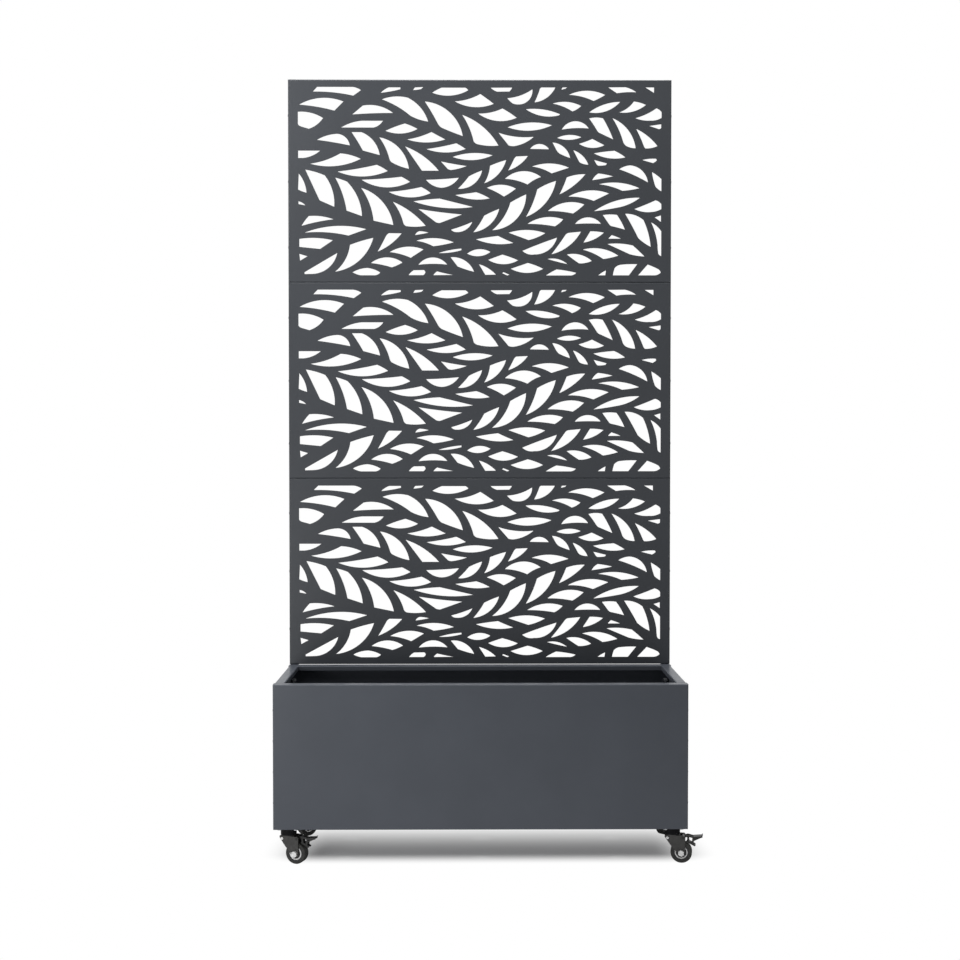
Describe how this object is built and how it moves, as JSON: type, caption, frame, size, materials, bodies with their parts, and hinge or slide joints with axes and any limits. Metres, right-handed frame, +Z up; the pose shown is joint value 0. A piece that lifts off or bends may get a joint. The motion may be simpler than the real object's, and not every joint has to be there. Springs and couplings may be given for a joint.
{
  "type": "metal privacy screen",
  "caption": "Free-standing metal privacy screen of stacked leaf-cut panels on uprights behind a long planter box, rolling on swivel casters with foot brakes.",
  "frame": {"origin": "middle of the footprint of the whole object on the floor", "axes": "+Z up, -Y towards the viewer of the picture, out of the planter's front; +X to the viewer's right"},
  "size_m": [1.0238, 0.324, 1.931],
  "materials": {
    "grey_powder_coat": "satin powder coat",
    "grey_screw_heads": "satin",
    "black_plastic": "matte",
    "zinc_fasteners": "zinc plated",
    "caster_black": "satin",
    "caster_zinc": "zinc plated",
    "pedal_grey": "satin",
    "tread_rubber": "matte",
    "wheel_plastic": "matte"
  },
  "bodies": {
    "frame": {"upper_leaf_panel": "grey_powder_coat", "middle_leaf_panel": "grey_powder_coat", "lower_leaf_panel": "grey_powder_coat", "left_upright": "grey_powder_coat", "right_upright": "grey_powder_coat", "planter_front_wall": "grey_powder_coat", "planter_rear_wall": "grey_powder_coat", "planter_left_wall": "grey_powder_coat", "planter_right_wall": "grey_powder_coat", "planter_floor": "grey_powder_coat", "upright_caps": "black_plastic", "seam_bolts": "zinc_fasteners", "seam_nuts": "zinc_fasteners", "foot_bolts": "zinc_fasteners", "foot_nuts": "zinc_fasteners", "corner_nuts": "zinc_fasteners", "floor_screws": "zinc_fasteners", "floor_nuts": "zinc_fasteners", "caster_bolts": "zinc_fasteners", "caster_nuts": "zinc_fasteners", "side_screws": "grey_screw_heads", "corner_screws": "grey_screw_heads", "front_left_caster_plate": "caster_black", "front_left_kingpin": "caster_zinc", "front_right_caster_plate": "caster_black", "front_right_kingpin": "caster_zinc", "rear_left_caster_plate": "caster_black", "rear_left_kingpin": "caster_zinc", "rear_right_caster_plate": "caster_black", "rear_right_kingpin": "caster_zinc"},
    "front_left_swivel": {"front_left_fork": "caster_black", "front_left_axle": "caster_zinc", "front_left_brake_pin": "caster_black", "front_left_tie_rivet": "caster_zinc"},
    "front_left_wheel": {"front_left_tyre": "tread_rubber", "front_left_wheel_core": "wheel_plastic"},
    "front_left_pedal": {"front_left_brake_pedal": "pedal_grey"},
    "front_right_swivel": {"front_right_fork": "caster_black", "front_right_axle": "caster_zinc", "front_right_brake_pin": "caster_black", "front_right_tie_rivet": "caster_zinc"},
    "front_right_wheel": {"front_right_tyre": "tread_rubber", "front_right_wheel_core": "wheel_plastic"},
    "front_right_pedal": {"front_right_brake_pedal": "pedal_grey"},
    "rear_left_swivel": {"rear_left_fork": "caster_black", "rear_left_axle": "caster_zinc", "rear_left_brake_pin": "caster_black", "rear_left_tie_rivet": "caster_zinc"},
    "rear_left_wheel": {"rear_left_tyre": "tread_rubber", "rear_left_wheel_core": "wheel_plastic"},
    "rear_left_pedal": {"rear_left_brake_pedal": "pedal_grey"},
    "rear_right_swivel": {"rear_right_fork": "caster_black", "rear_right_axle": "caster_zinc", "rear_right_brake_pin": "caster_black", "rear_right_tie_rivet": "caster_zinc"},
    "rear_right_wheel": {"rear_right_tyre": "tread_rubber", "rear_right_wheel_core": "wheel_plastic"},
    "rear_right_pedal": {"rear_right_brake_pedal": "pedal_grey"}
  },
  "joints": [
    {"name": "front_left_swivel_turn", "type": "hinge", "parent": "frame", "child": "front_left_swivel", "pos_m": [-0.4791, -0.117, 0.068], "axis": [0, 0, 1], "continuous": true},
    {"name": "front_left_wheel_spin", "type": "hinge", "parent": "front_left_swivel", "child": "front_left_wheel", "pos_m": [-0.45818, -0.1238, 0.0254], "axis": [0.309, 0.9511, 0], "continuous": true},
    {"name": "front_left_brake_press", "type": "hinge", "parent": "front_left_swivel", "child": "front_left_pedal", "pos_m": [-0.4539, -0.12519, 0.0614], "axis": [0.309, 0.9511, 0], "range_deg": [0, 6]},
    {"name": "front_right_swivel_turn", "type": "hinge", "parent": "frame", "child": "front_right_swivel", "pos_m": [0.4389, -0.117, 0.068], "axis": [0, 0, 1], "continuous": true},
    {"name": "front_right_wheel_spin", "type": "hinge", "parent": "front_right_swivel", "child": "front_right_wheel", "pos_m": [0.4605, -0.1212, 0.0254], "axis": [0.1908, 0.9816, 0], "continuous": true},
    {"name": "front_right_brake_press", "type": "hinge", "parent": "front_right_swivel", "child": "front_right_pedal", "pos_m": [0.46491, -0.12206, 0.0614], "axis": [0.1908, 0.9816, 0], "range_deg": [0, 6]},
    {"name": "rear_left_swivel_turn", "type": "hinge", "parent": "frame", "child": "rear_left_swivel", "pos_m": [-0.4791, 0.093, 0.068], "axis": [0, 0, 1], "continuous": true},
    {"name": "rear_left_wheel_spin", "type": "hinge", "parent": "rear_left_swivel", "child": "rear_left_wheel", "pos_m": [-0.46225, 0.10714, 0.0254], "axis": [-0.6428, 0.766, 0], "continuous": true},
    {"name": "rear_left_brake_press", "type": "hinge", "parent": "rear_left_swivel", "child": "rear_left_pedal", "pos_m": [-0.4588, 0.11003, 0.0614], "axis": [-0.6428, 0.766, 0], "range_deg": [0, 6]},
    {"name": "rear_right_swivel_turn", "type": "hinge", "parent": "frame", "child": "rear_right_swivel", "pos_m": [0.4389, 0.093, 0.068], "axis": [0, 0, 1], "continuous": true},
    {"name": "rear_right_wheel_spin", "type": "hinge", "parent": "rear_right_swivel", "child": "rear_right_wheel", "pos_m": [0.45304, 0.10985, 0.0254], "axis": [-0.766, 0.6428, 0], "continuous": true},
    {"name": "rear_right_brake_press", "type": "hinge", "parent": "rear_right_swivel", "child": "rear_right_pedal", "pos_m": [0.45593, 0.1133, 0.0614], "axis": [-0.766, 0.6428, 0], "range_deg": [0, 6]}
  ]
}
